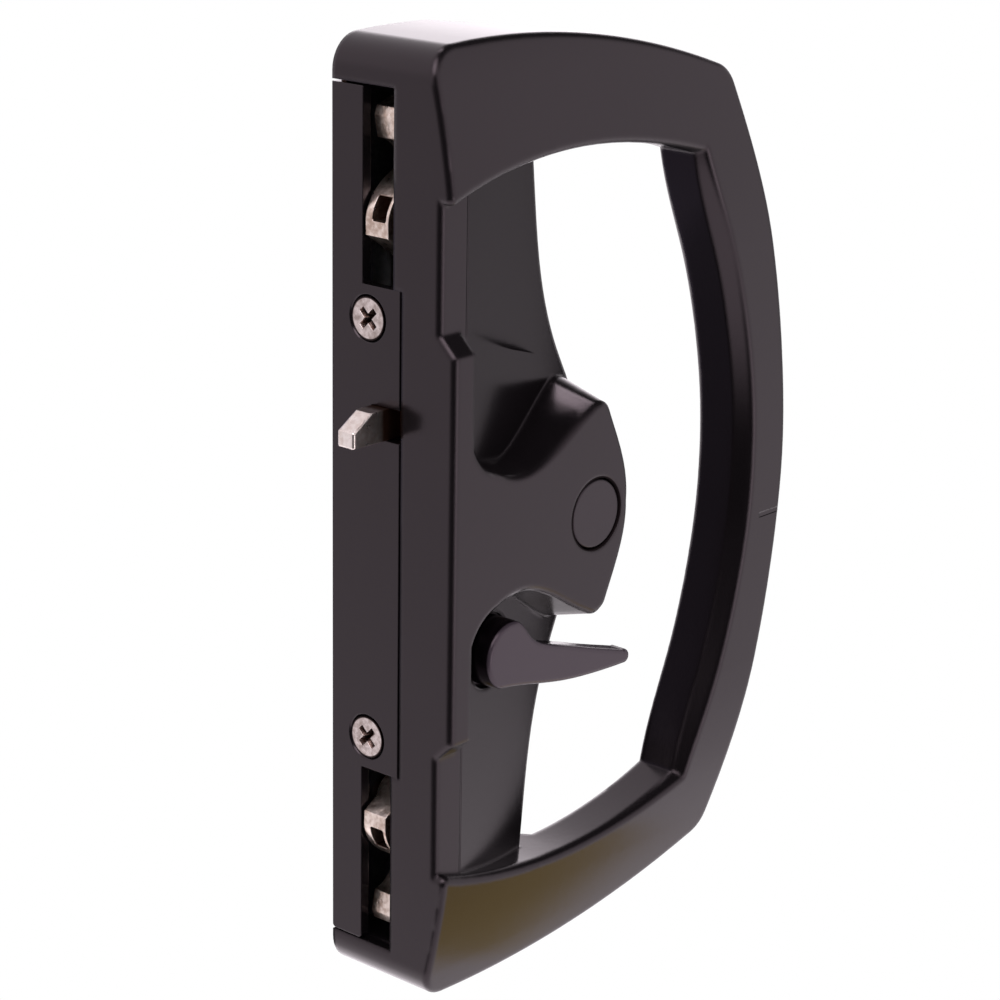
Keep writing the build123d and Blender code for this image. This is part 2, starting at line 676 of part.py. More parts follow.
with BuildPart() as spindle_clip:
    with BuildSketch(cam_plane.offset(SPINDLE_PAD - CLIP_T - 0.05)):
        Circle(SPINDLE_R + 2)
        Circle(SPINDLE_R - CLIP_GROOVE + 0.05, mode=Mode.SUBTRACT)
        with Locations((0, -5)):
            Rectangle(4.6, 7, mode=Mode.SUBTRACT)
    extrude(amount=CLIP_T)

spindle_clip.part.label = "spindle_clip"
export_step(spindle_clip.part, "parts/spindle_clip.step")

# Friction washer that keeps the lever where it is put
with BuildPart() as friction_washer:
    with BuildSketch(edge_plane.offset(LEVER_SEAT + 0.03)):
        with Locations((LEVER_X, LEVER_Z)):
            Circle(WASHER_R)
            Circle(SPINDLE_R + 0.3, mode=Mode.SUBTRACT)
    extrude(amount=WASHER_FRONT - LEVER_SEAT - 0.03)

friction_washer.part.label = "friction_washer"
export_step(friction_washer.part, "parts/friction_washer.step")

# Cam: a rocker with a drive pin at each end, square on the spindle
with BuildPart() as drive_cam:
    with BuildSketch(cam_plane.offset(CAM_BACK)):
        SlotCenterToCenter(2 * CAM_ARM, 2 * CAM_END_R)
        Circle(CAM_HUB_R)
        Rectangle(SPINDLE_SQUARE, SPINDLE_SQUARE, mode=Mode.SUBTRACT)
    extrude(amount=CAM_T)
    with BuildSketch(cam_plane.offset(CAM_BACK)):
        Circle(CAM_HUB_R - 0.6)
        Rectangle(SPINDLE_SQUARE, SPINDLE_SQUARE, mode=Mode.SUBTRACT)
    extrude(amount=CAM_HUB_FRONT - CAM_BACK)
    with BuildSketch(cam_plane.offset(SLIDE_BACK)):
        with Locations((CAM_ARM, 0), (-CAM_ARM, 0)):
            Circle(CAM_PIN_R)
    extrude(amount=CAM_BACK + 0.5 - SLIDE_BACK)

drive_cam.part.label = "drive_cam"
export_step(drive_cam.part, "parts/drive_cam.step")

# Slides: flat strips with a cross slot for the cam pin, two guide slots and a fork that
# turns the beak by its crank pin
cam_half = CAM_ARM * cos(radians(LEVER_TRAVEL / 2))
cam_rise = CAM_ARM * sin(radians(LEVER_TRAVEL / 2))
cross_slot_l = 2 * (CAM_PIN_R + PIN_PLAY) + CAM_ARM - cam_half
fork_z = PIVOT_Z - CRANK_R * sin(radians(BEAK_SWING / 2))
fork_x1 = PIVOT_X + CRANK_R + CRANK_PIN_R + PIN_PLAY

with BuildPart() as upper_slide:
    with BuildSketch(edge_plane.offset(SLIDE_BACK)):
        with BuildLine():
            Polyline(
                (STRIP_X0, STRIP_END_Z), (STRIP_X1, STRIP_END_Z), (STRIP_X1, -7), (41, -7),
                (41, -34), (33, -34), (33, -14), (STRIP_X0, -14), (STRIP_X0, STRIP_END_Z),
            )
        make_face()
        fillet(vertices(), 1.2)
        with Locations((LEVER_X + (CAM_ARM + cam_half) / 2, LEVER_Z - cam_rise)):
            RectangleRounded(cross_slot_l, 2 * CAM_PIN_R + 0.3, 1.6, mode=Mode.SUBTRACT)
        with Locations((STRIP_X0 - 1, fork_z)):
            Rectangle(
                fork_x1 - STRIP_X0 + 1, 2 * (CRANK_PIN_R + PIN_PLAY),
                align=(Align.MIN, Align.CENTER), mode=Mode.SUBTRACT,
            )
        for z in GUIDE_Z:
            with Locations((GUIDE_X, z - SLIDE_TRAVEL / 2)):
                SlotCenterToCenter(
                    SLIDE_TRAVEL + PIN_PLAY, 2 * GUIDE_R + 0.2, rotation=90, mode=Mode.SUBTRACT
                )
    extrude(amount=SLIDE_T)

upper_slide.part.label = "upper_slide"
export_step(upper_slide.part, "parts/upper_slide.step")

with BuildPart() as lower_slide:
    with BuildSketch(edge_plane.offset(SLIDE_BACK)):
        with BuildLine():
            Polyline(
                (2.9, -21.3), (9.4, -21.3), (9.4, -31), (STRIP_X1, -31),
                (STRIP_X1, -STRIP_END_Z), (STRIP_X0, -STRIP_END_Z), (STRIP_X0, -36),
                (2.9, -36), (2.9, -21.3),
            )
        make_face()
        fillet(vertices(), 1.2)
        with Locations((LEVER_X - (CAM_ARM + cam_half) / 2, LEVER_Z + cam_rise)):
            RectangleRounded(cross_slot_l, 2 * CAM_PIN_R + 0.3, 1.6, mode=Mode.SUBTRACT)
        with Locations((STRIP_X0 - 1, -fork_z)):
            Rectangle(
                fork_x1 - STRIP_X0 + 1, 2 * (CRANK_PIN_R + PIN_PLAY),
                align=(Align.MIN, Align.CENTER), mode=Mode.SUBTRACT,
            )
        for z in LOWER_GUIDE_Z:
            with Locations((GUIDE_X, z + SLIDE_TRAVEL / 2)):
                SlotCenterToCenter(
                    SLIDE_TRAVEL + PIN_PLAY, 2 * GUIDE_R + 0.2, rotation=90, mode=Mode.SUBTRACT
                )
    extrude(amount=SLIDE_T)

lower_slide.part.label = "lower_slide"
export_step(lower_slide.part, "parts/lower_slide.step")

# Shouldered rivets that hold the slides against the chassis
with BuildPart() as slide_guides:
    with BuildSketch(edge_plane.offset(CHASSIS_BACK)):
        with Locations(*[(GUIDE_X, z) for z in GUIDE_Z + LOWER_GUIDE_Z]):
            Circle(GUIDE_R)
    extrude(amount=SLIDE_FRONT + 0.2 - CHASSIS_BACK)
    with BuildSketch(edge_plane.offset(SLIDE_FRONT + 0.2)):
        with Locations(*[(GUIDE_X, z) for z in GUIDE_Z + LOWER_GUIDE_Z]):
            Circle(2 * GUIDE_R)
    extrude(amount=1)

slide_guides.part.label = "slide_guides"
export_step(slide_guides.part, "parts/slide_guides.step")

# Hook beaks: a round heel on the pivot, an arm and a nose, cast in one with a crank pin
with BuildPart() as upper_beak:
    with BuildSketch(edge_plane.offset(BEAK_BACK)):
        with BuildLine():
            Spline((8.6, 75.6), (3.4, 72.2), (0.8, 68.6), (0.2, 65.2))
            Polyline((0.2, 65.2), (0.3, 62.9), (6, 59.2), (10.2, 56))
            ThreePointArc((10.2, 56), (18, 56.2), (21.3, 62.5))
            Spline((21.3, 62.5), (20.3, 70), (18.4, 79), (17, 85.5))
            ThreePointArc((17, 85.5), (12.5, 90.2), (5.6, 89.6))
            Polyline((5.6, 89.6), (3.4, 88.9), (2.7, 87), (3.6, 82.4))
            Spline((3.6, 82.4), (7, 80.9), (8.8, 78.6), (8.6, 75.6))
        make_face()
    extrude(amount=BEAK_FRONT - BEAK_BACK)
    # Cast pocket in the heel
    with BuildSketch(Plane(
        origin=(EDGE_X, -BEAK_POCKET_Y, BEAK_POCKET_Z), x_dir=(0, -1, 0), z_dir=(-1, 0, 0)
    )):
        RectangleRounded(3.8, 5, 0.5)
    extrude(amount=-5.5, mode=Mode.SUBTRACT)
    with BuildSketch(edge_plane.offset(SLIDE_FRONT + 0.3)):
        with Locations((PIVOT_X, PIVOT_Z)):
            Circle(5)
    extrude(amount=BRIDGE_BACK - 0.2 - SLIDE_FRONT - 0.3)
    with BuildSketch(edge_plane.offset(SLIDE_BACK)):
        with Locations((PIVOT_X + CRANK_R * cos(radians(BEAK_SWING / 2)), fork_z)):
            Circle(CRANK_PIN_R)
    extrude(amount=BEAK_BACK - SLIDE_BACK)
    with BuildSketch(edge_plane.offset(SLIDE_BACK)):
        with Locations((PIVOT_X, PIVOT_Z)):
            Circle(PIVOT_R + PIVOT_FIT)
    extrude(amount=BRIDGE_BACK - SLIDE_BACK, mode=Mode.SUBTRACT)

upper_beak.part.label = "upper_beak"
export_step(upper_beak.part, "parts/upper_beak.step")

with BuildPart() as lower_beak:
    mirror(upper_beak.part, about=Plane.XY)

lower_beak.part.label = "lower_beak"
export_step(lower_beak.part, "parts/lower_beak.step")

with BuildPart() as beak_pivots:
    with BuildSketch(edge_plane.offset(CHASSIS_BACK)):
        with Locations((PIVOT_X, PIVOT_Z), (PIVOT_X, -PIVOT_Z)):
            Circle(PIVOT_R)
    extrude(amount=BRIDGE_BACK + BRIDGE_T - CHASSIS_BACK)

beak_pivots.part.label = "beak_pivots"
export_step(beak_pivots.part, "parts/beak_pivots.step")

# Bridges carry the front ends of the beak pivots on two riveted spacers each
with BuildPart() as upper_bridge:
    with BuildSketch(edge_plane.offset(BRIDGE_BACK)):
        with Locations((BRIDGE_X0, BRIDGE_Z0)):
            Rectangle(
                BRIDGE_X1 - BRIDGE_X0, CHASSIS_Z - BRIDGE_Z0, align=(Align.MIN, Align.MIN)
            )
        fillet(vertices(), 2)
        with Locations((PIVOT_X, PIVOT_Z)):
            Circle(PIVOT_R, mode=Mode.SUBTRACT)
        with Locations(*[(SPACER_X, z) for z in SPACER_Z]):
            Circle(SPACER_R - 0.8, mode=Mode.SUBTRACT)
    extrude(amount=BRIDGE_T)

upper_bridge.part.label = "upper_bridge"
export_step(upper_bridge.part, "parts/upper_bridge.step")

with BuildPart() as lower_bridge:
    mirror(upper_bridge.part, about=Plane.XY)

lower_bridge.part.label = "lower_bridge"
export_step(lower_bridge.part, "parts/lower_bridge.step")

with BuildPart() as bridge_spacers:
    for back, front, r in (
        (CHASSIS_BACK, BRIDGE_BACK + BRIDGE_T + 0.4, SPACER_R - 0.8),
        (CHASSIS_FRONT, BRIDGE_BACK, SPACER_R),
    ):
        with BuildSketch(edge_plane.offset(back)):
            with Locations(*[(SPACER_X, s * z) for z in SPACER_Z for s in (1, -1)]):
                Circle(r)
        extrude(amount=front - back)

bridge_spacers.part.label = "bridge_spacers"
export_step(bridge_spacers.part, "parts/bridge_spacers.step")

# Chassis: a steel plate behind the mechanism with two folded lugs for the faceplate screws
with BuildPart() as lock_chassis:
    with BuildSketch(edge_plane.offset(CHASSIS_BACK)):
        with Locations((CHASSIS_X0, 0)):
            Rectangle(CHASSIS_X1 - CHASSIS_X0, 2 * CHASSIS_Z, align=(Align.MIN, Align.CENTER))
        fillet(vertices(), 2)
        with Locations((CHASSIS_SCREW_X, CHASSIS_SCREW_Z), (CHASSIS_SCREW_X, -CHASSIS_SCREW_Z)):
            Circle(CHASSIS_BOSS_R)
            Circle(CHASSIS_SCREW_R + 0.1, mode=Mode.SUBTRACT)
        with Locations((PIVOT_X, PIVOT_Z), (PIVOT_X, -PIVOT_Z)):
            Circle(PIVOT_R, mode=Mode.SUBTRACT)
        with Locations(*[(GUIDE_X, z) for z in GUIDE_Z + LOWER_GUIDE_Z]):
            Circle(GUIDE_R, mode=Mode.SUBTRACT)
        with Locations(*[(SPACER_X, s * z) for z in SPACER_Z for s in (1, -1)]):
            Circle(SPACER_R - 0.8, mode=Mode.SUBTRACT)
        with Locations((LEVER_X, LEVER_Z)):
            Circle(JOURNAL_R + SPINDLE_FIT, mode=Mode.SUBTRACT)
    extrude(amount=CHASSIS_T)
    with BuildSketch(edge_plane.offset(CHASSIS_BACK)):
        with Locations((CHASSIS_X0, (LUG_Z0 + LUG_Z1) / 2), (CHASSIS_X0, -(LUG_Z0 + LUG_Z1) / 2)):
            Rectangle(LUG_T, LUG_Z1 - LUG_Z0, align=(Align.MIN, Align.CENTER))
    extrude(amount=LUG_FRONT - CHASSIS_BACK)
    with BuildSketch(side_plane.offset(-CHASSIS_X0)):
        with Locations((PLATE_SCREW_Y, PLATE_SCREW_Z), (PLATE_SCREW_Y, -PLATE_SCREW_Z)):
            Circle(PLATE_SCREW_R)
    extrude(amount=-LUG_T, mode=Mode.SUBTRACT)

lock_chassis.part.label = "lock_chassis"
export_step(lock_chassis.part, "parts/lock_chassis.step")

with BuildPart() as chassis_screws:
    for s in (1, -1):
        with BuildSketch(edge_plane.offset(CHASSIS_BACK - CHASSIS_SCREW_HEAD_T)):
            with Locations((CHASSIS_SCREW_X, s * CHASSIS_SCREW_Z)):
                Circle(CHASSIS_SCREW_HEAD_R)
        extrude(amount=CHASSIS_SCREW_HEAD_T)
        with BuildSketch(edge_plane.offset(CHASSIS_BACK)):
            with Locations((CHASSIS_SCREW_X, s * CHASSIS_SCREW_Z)):
                Circle(CHASSIS_SCREW_R)
        extrude(amount=CHASSIS_SCREW_L)
    with BuildSketch(edge_plane.offset(CHASSIS_BACK - CHASSIS_SCREW_HEAD_T)):
        with Locations((CHASSIS_SCREW_X, CHASSIS_SCREW_Z), (CHASSIS_SCREW_X, -CHASSIS_SCREW_Z)):
            Rectangle(3.2, 0.8, rotation=45)
            Rectangle(3.2, 0.8, rotation=-45)
    extrude(amount=0.9, mode=Mode.SUBTRACT)

chassis_screws.part.label = "chassis_screws"
export_step(chassis_screws.part, "parts/chassis_screws.step")

# Trigger: a nose that stands out of the edge and a stepped tail that runs in the guide
with BuildPart() as trigger:
    with BuildSketch(edge_plane.offset(TRIGGER_BACK)):
        with BuildLine():
            Polyline(
                (-TRIGGER_OUT, TRIGGER_Z0), (TRIGGER_STEP, TRIGGER_Z0),
                (TRIGGER_STEP, TRIGGER_Z1), (TRIGGER_NOSE_L - TRIGGER_OUT, TRIGGER_Z1),
                (-TRIGGER_OUT, TRIGGER_Z1 - TRIGGER_NOSE_H), (-TRIGGER_OUT, TRIGGER_Z0),
            )
        make_face()
    extrude(amount=TRIGGER_FRONT - TRIGGER_BACK)
    fillet(edges().filter_by(lambda e: e.center().X < EDGE_X - 1), 0.5)
    with BuildSketch(edge_plane.offset(TRIGGER_BACK)):
        with Locations((CAVITY_X0 + 0.6, TRIGGER_Z0)):
            Rectangle(
                TRIGGER_END - CAVITY_X0 - 0.6, TRIGGER_Z1 - TRIGGER_Z0,
                align=(Align.MIN, Align.MIN),
            )
    extrude(amount=TAIL_FRONT - TRIGGER_BACK)
    with BuildSketch(side_plane.offset(-TRIGGER_END)):
        with Locations(((TRIGGER_BACK + TAIL_FRONT) / 2, (TRIGGER_Z0 + TRIGGER_Z1) / 2)):
            Circle(SPRING_BORE_R)
    extrude(amount=TRIGGER_END - SPRING_START, mode=Mode.SUBTRACT)

trigger.part.label = "trigger"
export_step(trigger.part, "parts/trigger.step")

with BuildPart() as trigger_guide:
    with BuildSketch(edge_plane.offset(TRIGGER_BACK - 0.3 - GUIDE_T)):
        with Locations((GUIDE_X0, TRIGGER_Z0 - 0.3 - GUIDE_T)):
            Rectangle(
                SPRING_END + GUIDE_T - GUIDE_X0, TRIGGER_Z1 - TRIGGER_Z0 + 2 * (0.3 + GUIDE_T),
                align=(Align.MIN, Align.MIN),
            )
    extrude(amount=TAIL_FRONT - 0.4 - TRIGGER_BACK + 0.3 + GUIDE_T)
    with BuildSketch(edge_plane.offset(TRIGGER_BACK - 0.3)):
        with Locations((GUIDE_X0 - 1, TRIGGER_Z0 - 0.3)):
            Rectangle(
                SPRING_END - GUIDE_X0 + 1, TRIGGER_Z1 - TRIGGER_Z0 + 0.6,
                align=(Align.MIN, Align.MIN),
            )
    extrude(amount=10, mode=Mode.SUBTRACT)
    with BuildSketch(edge_plane.offset(CHASSIS_FRONT)):
        for z in (TRIGGER_Z0 - 0.3 - GUIDE_T, TRIGGER_Z1 + 0.3):
            with Locations((GUIDE_LEG_X0, z)):
                Rectangle(GUIDE_LEG_X1 - GUIDE_LEG_X0, GUIDE_T, align=(Align.MIN, Align.MIN))
    extrude(amount=TRIGGER_BACK - 0.3 - CHASSIS_FRONT)

trigger_guide.part.label = "trigger_guide"
export_step(trigger_guide.part, "parts/trigger_guide.step")

spring_y = -(TRIGGER_BACK + TAIL_FRONT) / 2
spring_z = (TRIGGER_Z0 + TRIGGER_Z1) / 2
spring_x0 = EDGE_X + SPRING_START + SPRING_WIRE_R
spring_l = SPRING_END - SPRING_START - 2 * SPRING_WIRE_R
with BuildPart() as trigger_spring:
    with BuildLine() as coil:
        Helix(
            spring_l / SPRING_TURNS, spring_l, SPRING_R,
            center=(spring_x0, spring_y, spring_z), direction=(1, 0, 0),
        )
    with BuildSketch(Plane(origin=coil.line @ 0, z_dir=coil.line % 0)):
        Circle(SPRING_WIRE_R)
    sweep()

trigger_spring.part.label = "trigger_spring"
export_step(trigger_spring.part, "parts/trigger_spring.step")
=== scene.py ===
import json
import math

import bpy
from mathutils import Matrix, Vector


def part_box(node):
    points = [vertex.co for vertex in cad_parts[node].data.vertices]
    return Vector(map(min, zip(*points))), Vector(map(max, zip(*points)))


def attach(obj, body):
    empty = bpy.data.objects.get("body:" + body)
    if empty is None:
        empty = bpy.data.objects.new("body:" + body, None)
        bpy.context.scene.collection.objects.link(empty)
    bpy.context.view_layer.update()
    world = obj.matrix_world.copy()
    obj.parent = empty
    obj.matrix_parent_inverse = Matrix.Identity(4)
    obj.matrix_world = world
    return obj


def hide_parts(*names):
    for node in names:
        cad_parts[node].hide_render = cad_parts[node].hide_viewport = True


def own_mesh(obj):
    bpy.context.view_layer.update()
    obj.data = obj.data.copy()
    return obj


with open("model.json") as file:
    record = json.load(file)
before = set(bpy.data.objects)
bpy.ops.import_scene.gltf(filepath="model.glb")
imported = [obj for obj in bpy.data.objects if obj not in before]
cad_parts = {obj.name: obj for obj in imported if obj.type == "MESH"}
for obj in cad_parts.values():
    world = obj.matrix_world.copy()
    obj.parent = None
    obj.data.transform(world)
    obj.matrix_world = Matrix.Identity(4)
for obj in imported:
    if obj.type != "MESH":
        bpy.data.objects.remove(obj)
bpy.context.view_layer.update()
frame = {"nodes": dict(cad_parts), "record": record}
nodes = frame["nodes"]


# Handle housing
# One casting in satin black powder coat. The coat is almost black under a soft, slightly
# purple gloss; it has a fine orange peel and runs round over the edges.
class Sock:
    """A shader socket with arithmetic, so that a material reads as a formula."""

    def __init__(self, tree, socket=None):
        self.tree = tree
        self.socket = socket

    def node(self, kind, settings=None, inputs=None, out=0):
        """Adds a node to the tree and returns one of its outputs, if it has any."""
        n = self.tree.nodes.new(kind)
        for key, value in (settings or {}).items():
            setattr(n, key, value)
        for key, value in (inputs or {}).items():
            if isinstance(value, Sock):
                self.tree.links.new(value.socket, n.inputs[key])
            else:
                n.inputs[key].default_value = value
        return Sock(self.tree, n.outputs[out]) if n.outputs else None

    def math(self, operation, *values):
        return self.node("ShaderNodeMath", {"operation": operation}, dict(enumerate(values)))

    def vector(self, operation, *values, out=0):
        return self.node("ShaderNodeVectorMath", {"operation": operation}, dict(enumerate(values)), out)

    def __add__(self, other):
        return self.math("ADD", self, other)

    __radd__ = __add__

    def __mul__(self, other):
        return self.math("MULTIPLY", self, other)

    __rmul__ = __mul__

    def __sub__(self, other):
        return self.math("SUBTRACT", self, other)

    def __rsub__(self, other):
        return self.math("SUBTRACT", other, self)

    def mix(self, a, b):
        """Colour a where the value is 0 and b where it is 1."""
        return self.node("ShaderNodeMix", {"data_type": "RGBA"}, {0: self, 6: a, 7: b}, out=2)

    def noise(self, scale, detail=2.0, stretch=(1, 1, 1)):
        placed = self.vector("MULTIPLY", self, stretch)
        return self.node("ShaderNodeTexNoise", inputs={"Vector": placed, "Scale": scale, "Detail": detail})

    def ramp(self, low, high):
        """0 at low and 1 at high, which may lie below it, with a soft step between."""
        return self.node("ShaderNodeMapRange", {"interpolation_type": "SMOOTHSTEP"}, {0: self, 1: low, 2: high})

    def near(self, centre, half, soft):
        """1 where the value lies within a half width of a centre."""
        off = self - centre
        return 1.0 - off.math("ABSOLUTE", off).ramp(half, half + soft)

    def axes(self):
        parts = self.node("ShaderNodeSeparateXYZ", inputs={0: self})
        return [Sock(self.tree, parts.socket.node.outputs[k]) for k in range(3)]


def material(name):
    """A material with its surface shader and the object's coordinates."""
    m = bpy.data.materials.new(name)
    m.use_nodes = True
    coord = Sock(m.node_tree).node("ShaderNodeTexCoord", out="Object")
    return m, m.node_tree.nodes["Principled BSDF"], coord


def feed(shader, **inputs):
    """Links or sets the inputs of a shader, named with _ for each space."""
    for key, value in inputs.items():
        target = shader.inputs[key.replace("_", " ")]
        if isinstance(value, Sock):
            value.tree.links.new(value.socket, target)
        else:
            target.default_value = value


def relief(coord, height, strength, edge):
    """Bumps of a height over edges that are rounded by a radius."""
    rounded = coord.node("ShaderNodeBevel", {"samples": 6}, {"Radius": edge})
    return coord.node("ShaderNodeBump", inputs={
        "Strength": strength, "Distance": 0.0002, "Height": height, "Normal": rounded,
    })


def powder_coat(name, dark, light, rough, edge=0.0004, grain=0.1, scribed=None, painted_shade=None, painted_gap_shade=None):
    """Powder coat between two tones. Three functions of x, y and z may say where lines are cut
    into it, where shade is painted into its colour and where a near-black coat is mixed in as shade."""
    m, shader, coord = material(name)
    cloud = coord.noise(scale=38.0, detail=3.0)
    fine = coord.noise(scale=2600.0)
    peel = coord.noise(scale=420.0)
    normal = relief(coord, fine * 0.55 + peel * 0.45, grain, edge)
    if scribed:
        normal = coord.node("ShaderNodeBump", inputs={
            "Strength": 1.0, "Distance": 0.0004, "Height": 1.0 - scribed(*coord.axes()), "Normal": normal,
        })
    color = cloud.mix(dark, light)
    # Painted shade: where the second function is 1, the colour goes to near black.
    if painted_shade:
        flank_shade_tone = (0.003, 0.002, 0.003, 1)
        color = painted_shade(*coord.axes()).mix(color, flank_shade_tone)
    feed(
        shader, Base_Color=color, Roughness=rough + cloud * 0.05, Normal=normal,
        IOR=1.5, Specular_Tint=(1.0, 0.83, 0.91, 1),
    )
    # Painted shade: where the third function is 1, a rough near-black coat is mixed in.
    if painted_gap_shade:
        gap_shade_tone = cloud.mix((0.007, 0.004, 0.005, 1), (0.014, 0.009, 0.010, 1))
        gap_shade_coat = coord.node("ShaderNodeBsdfPrincipled", inputs={
            "Base Color": gap_shade_tone, "Roughness": 0.9, "Specular IOR Level": 0.1,
        })
        coat = Sock(m.node_tree, shader.outputs[0])
        both = coord.node("ShaderNodeMixShader", inputs={0: painted_gap_shade(*coord.axes()), 1: coat, 2: gap_shade_coat})
        m.node_tree.links.new(both.socket, m.node_tree.nodes["Material Output"].inputs[0])
    return m


def paint(m, *names):
    """Gives nodes a material, and smooth faces between their sharp edges."""
    for name in names:
        mesh = nodes[name].data
        mesh.materials.clear()
        mesh.materials.append(m)
        for p in mesh.polygons:
            p.use_smooth = True
        mesh.set_sharp_from_angle(angle=math.radians(32))


def casting_lines(x, y, z):
    """The foot of the strip in both recesses and the gate mark on the outside of the grip."""
    foot_depth, gate_depth = 0.5, 0.6
    off = z.math("ABSOLUTE", z)
    foot = (
        x.near(centre=-0.016, half=0.0001, soft=0.0003)
        * off.near(centre=0.061, half=0.0165, soft=0.001)
        * y.near(centre=-0.024, half=0.007, soft=0.0004)
    )
    gate = (
        z.near(centre=-0.0146, half=0.0004, soft=0.0003)
        * x.near(centre=0.0856, half=0.0045, soft=0.0006)
        * y.near(centre=-0.034, half=0.006, soft=0.001)
    )
    return foot * foot_depth + gate * gate_depth


blank_lo, blank_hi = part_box("cylinder_blank")
blank_x, blank_z = (blank_lo[0] + blank_hi[0]) / 2, (blank_lo[2] + blank_hi[2]) / 2


def blank_gap(x, y, z):
    """Painted shade in the fine gap round the cylinder blank, wider on one side."""
    shift_x, shift_z = -0.00015, 0.0001
    inner_y, front_y = -0.0320, -0.0330
    across, along = x - (blank_x + shift_x), z - (blank_z + shift_z)
    radius = x.math("SQRT", across * across + along * along)
    return radius.near(centre=0.00797, half=0.00024, soft=0.00014) * y.ramp(inner_y, front_y)


paint(
    powder_coat(
        "housing_coat", dark=(0.0046, 0.0036, 0.0042, 1), light=(0.0072, 0.0056, 0.0066, 1),
        rough=0.14, edge=0.0014, scribed=casting_lines, painted_gap_shade=blank_gap,
    ),
    "handle_housing",
)


# Faceplate
# A steel strip with the same coat, which lies smoother on the rolled sheet.
paint(
    powder_coat(
        "plate_coat", dark=(0.0042, 0.0033, 0.0038, 1), light=(0.0064, 0.0050, 0.0058, 1),
        rough=0.18, edge=0.0003, grain=0.06,
    ),
    "faceplate",
)


# Cylinder blank
# A turned disc under the same coat, a little lighter and grainier than the boss round it.
paint(
    powder_coat(
        "blank_coat", dark=(0.016, 0.013, 0.015, 1), light=(0.022, 0.018, 0.021, 1),
        rough=0.28, edge=0.0003, grain=0.16, painted_gap_shade=blank_gap,
    ),
    "cylinder_blank",
)


# Snib lever
# Cast in one with its hub and coated like the housing; its flanks are darker than its face
# with painted shade.
def flanks(x, y, z):
    """Painted shade on everything behind the rounded edge of the lever's face."""
    face_y, flank_y = -0.0336, -0.0331
    return y.ramp(face_y, flank_y)


paint(
    powder_coat(
        "lever_coat", dark=(0.042, 0.031, 0.041, 1), light=(0.056, 0.042, 0.053, 1),
        rough=0.18, edge=0.0008, grain=0.12, painted_shade=flanks,
    ),
    "snib_lever",
)


# Hook beaks
# Cast steel, nickel plated: bright and warm, with the slight unevenness of the cast skin.
def plated(name, low, high, rough, skin, bump, edge=0.0003, stretch=(1, 1, 1), depth=0.0022, painted_shade_at=None):
    """Plated metal between two tones, with a skin of a fineness and a bump. Its pockets, recesses
    and corners get a dark brown painted shade, and so does what the last function of x, y and z names."""
    # The dark brown of the painted shade.
    shade_brown = (0.10, 0.046, 0.030, 1)
    m, shader, coord = material(name)
    uneven = coord.noise(skin, detail=4.0, stretch=stretch)
    blotches, specks = coord.noise(scale=110.0, detail=3.0), coord.noise(scale=800.0, detail=4.0)
    tone = (blotches * 0.4 + specks * 0.6).ramp(0.34, 0.62)
    # Painted shade: where ambient occlusion finds the metal hidden, it turns dark brown and rougher.
    open_air = coord.node("ShaderNodeAmbientOcclusion", {"samples": 8}, {"Distance": depth}, out=1)
    unshadowed = (open_air + (uneven - 0.5) * 0.3).ramp(0.26, 0.52)
    if painted_shade_at:
        unshadowed = unshadowed * (1.0 - painted_shade_at(*coord.axes()))
    feed(
        shader, Base_Color=unshadowed.mix(shade_brown, tone.mix(low, high)), Metallic=1.0,
        Roughness=rough + uneven * 0.1 + (1.0 - unshadowed) * 0.15, Normal=relief(coord, uneven, bump, edge),
    )
    return m


beak_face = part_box("upper_beak")[0][0]


def heel_pocket(x, y, z):
    """Painted shade deep in the cast pocket in the heel, at the same place on both beaks."""
    start, full = 0.001, 0.0022
    inside = (
        y.near(centre=-0.0129, half=0.0018, soft=0.0003)
        * z.math("ABSOLUTE", z).near(centre=0.0685, half=0.0024, soft=0.0004)
    )
    return inside * x.ramp(beak_face + start, beak_face + full)


paint(
    plated(
        "beak_nickel", low=(0.56, 0.43, 0.35, 1), high=(1.0, 0.88, 0.79, 1),
        rough=0.24, skin=620.0, bump=0.6, painted_shade_at=heel_pocket,
    ),
    "upper_beak", "lower_beak",
)


# Trigger
# The same plating over a smoother casting. Its root in the faceplate's slot carries painted shade.
def trigger_root(x, y, z):
    # Painted shade, rising towards the root in the faceplate's slot.
    unshadowed_x, shadowed_x = -0.0275, -0.0252
    return x.ramp(unshadowed_x, shadowed_x)


paint(
    plated(
        "trigger_nickel", low=(0.80, 0.70, 0.64, 1), high=(1.0, 0.93, 0.88, 1),
        rough=0.24, skin=520.0, bump=0.4, painted_shade_at=trigger_root,
    ),
    "trigger",
)


# Faceplate screws
# Countersunk screws in bright nickel; the cross recesses are pressed, so they stay smooth.
def ringed(m, centres, inner, outer, dark):
    """Paints shade on the metal from an inner to an outer radius round axes along X, at the rim of each head,
    which sits below the plate.
    """
    shader = m.node_tree.nodes["Principled BSDF"]
    coord = Sock(m.node_tree).node("ShaderNodeTexCoord", out="Object")
    ring = 1.0
    for y, z in centres:
        flat = coord.vector("SUBTRACT", coord.vector("MULTIPLY", coord, (0, 1, 1)), (0, y, z))
        ring = flat.vector("LENGTH", flat, out=1).ramp(inner, outer) * ring
    plain = Sock(m.node_tree, shader.inputs["Base Color"].links[0].from_socket)
    feed(shader, Base_Color=ring.mix(plain, dark))
    return m


screw_axes = []
for side in (1, -1):
    points = [v.co for v in nodes["faceplate_screws"].data.vertices if v.co.z * side > 0]
    screw_axes.append(tuple(
        (min(c[k] for c in points) + max(c[k] for c in points)) / 2 for k in (1, 2)
    ))
paint(
    ringed(
        plated(
            "screw_nickel", low=(0.42, 0.35, 0.32, 1), high=(0.82, 0.73, 0.70, 1),
            rough=0.22, skin=900.0, bump=0.4, edge=0.0002,
        ),
        screw_axes, inner=0.0041, outer=0.00435, dark=(0.02, 0.012, 0.012, 1),
    ),
    "faceplate_screws",
)


